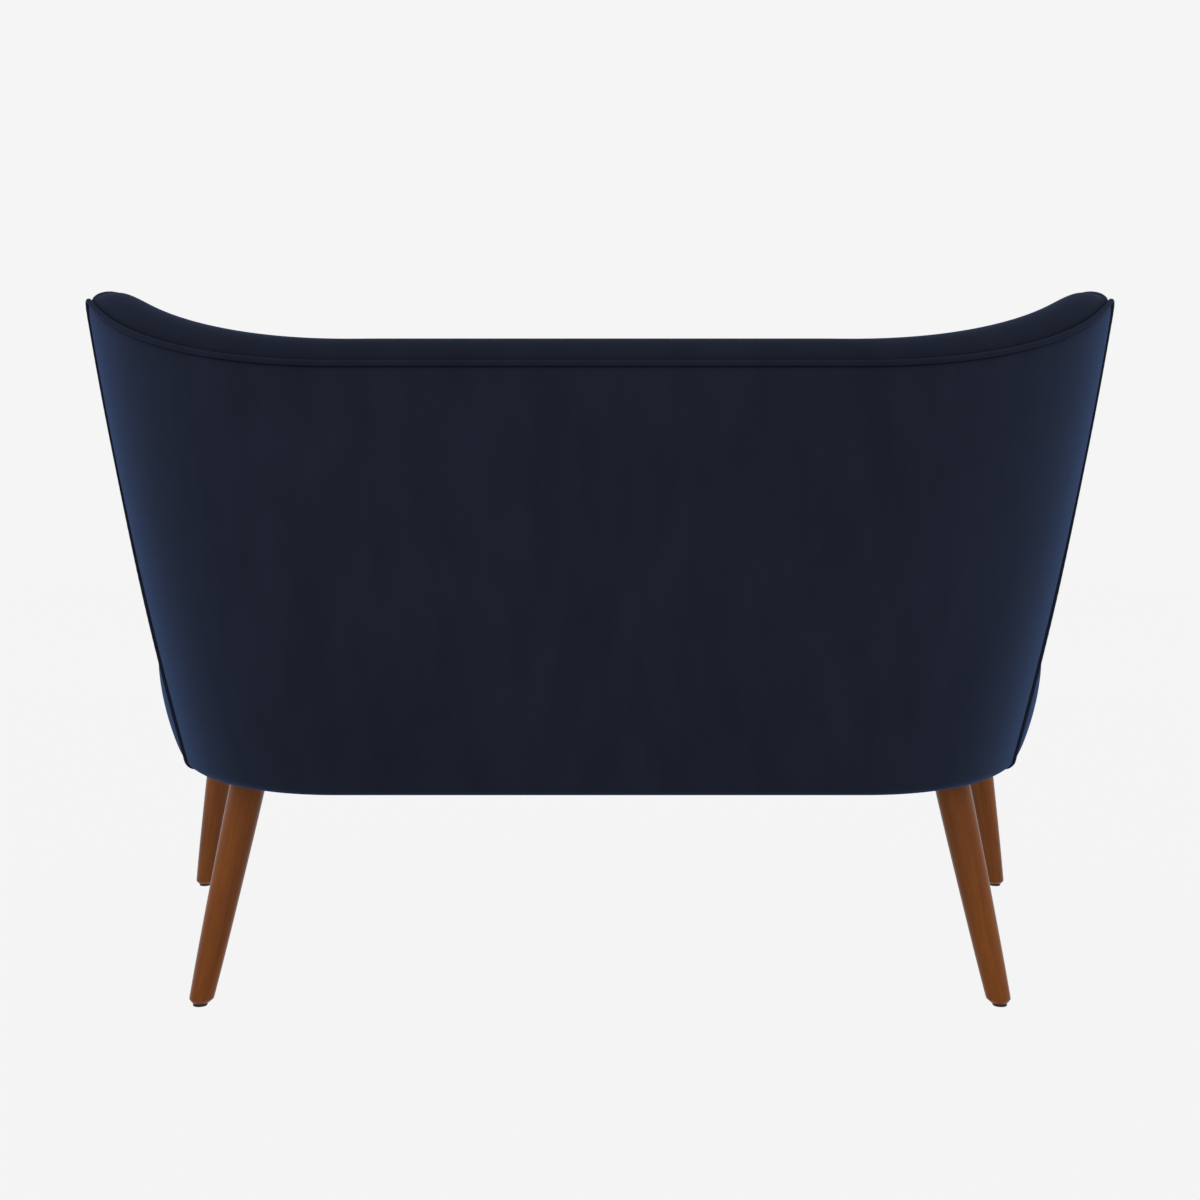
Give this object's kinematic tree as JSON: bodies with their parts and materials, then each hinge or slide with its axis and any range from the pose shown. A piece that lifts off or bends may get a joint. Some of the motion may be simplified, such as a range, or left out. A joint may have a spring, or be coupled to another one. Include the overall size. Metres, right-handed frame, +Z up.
{
  "type": "high back settee",
  "caption": "Upholstered settee whose tall back wraps forward into flared wings, with a padded rolled edge, corded seam, deep bench seat and splayed tapered wooden legs.",
  "frame": {"origin": "on the floor, below the middle of the settee's bounding box", "axes": "+X along the settee's width, -Y towards the sitter's front, +Y towards the back, +Z up"},
  "size_m": [1.2812, 0.8146, 0.8562],
  "materials": {
    "velvet": "short-pile cotton velvet, dark navy",
    "welt": "velvet-covered cord, dark navy",
    "dust_cover": "thin black non-woven lining",
    "webbing": "woven jute and rubber strap",
    "felt": "needled felt",
    "timber": "plain sawn hardwood",
    "leg_wood": "walnut-stained turned hardwood, satin lacquer",
    "steel": "bright zinc",
    "glide": "moulded black plastic"
  },
  "bodies": {
    "root": {"back_rail": "timber", "front_rail": "timber", "side_rail_right": "timber", "side_rail_left": "timber", "centre_brace": "timber", "top_rail": "timber", "lumbar_rail_centre": "timber", "back_post_left": "timber", "wing_post_left": "timber", "lumbar_rail_left": "timber", "back_post_right": "timber", "wing_post_right": "timber", "lumbar_rail_right": "timber", "back_strap_1": "webbing", "back_strap_2": "webbing", "back_strap_3": "webbing", "seat_spring_1": "steel", "seat_spring_2": "steel", "seat_spring_3": "steel", "seat_spring_4": "steel", "seat_spring_5": "steel", "seat_spring_6": "steel", "spring_insulator": "felt", "rear_left_leg": "leg_wood", "rear_left_glide": "glide", "rear_left_hanger_bolt": "steel", "rear_left_leg_plate": "steel", "rear_left_leg_block": "timber", "front_left_leg": "leg_wood", "front_left_glide": "glide", "front_left_hanger_bolt": "steel", "front_left_leg_plate": "steel", "front_left_leg_block": "timber", "rear_right_leg": "leg_wood", "rear_right_glide": "glide", "rear_right_hanger_bolt": "steel", "rear_right_leg_plate": "steel", "rear_right_leg_block": "timber", "front_right_leg": "leg_wood", "front_right_glide": "glide", "front_right_hanger_bolt": "steel", "front_right_leg_plate": "steel", "front_right_leg_block": "timber", "dust_cover": "dust_cover", "outside_back_cover": "velvet", "back_pad": "velvet", "seat_pad": "velvet", "welt_cord": "welt"}
  },
  "joints": []
}
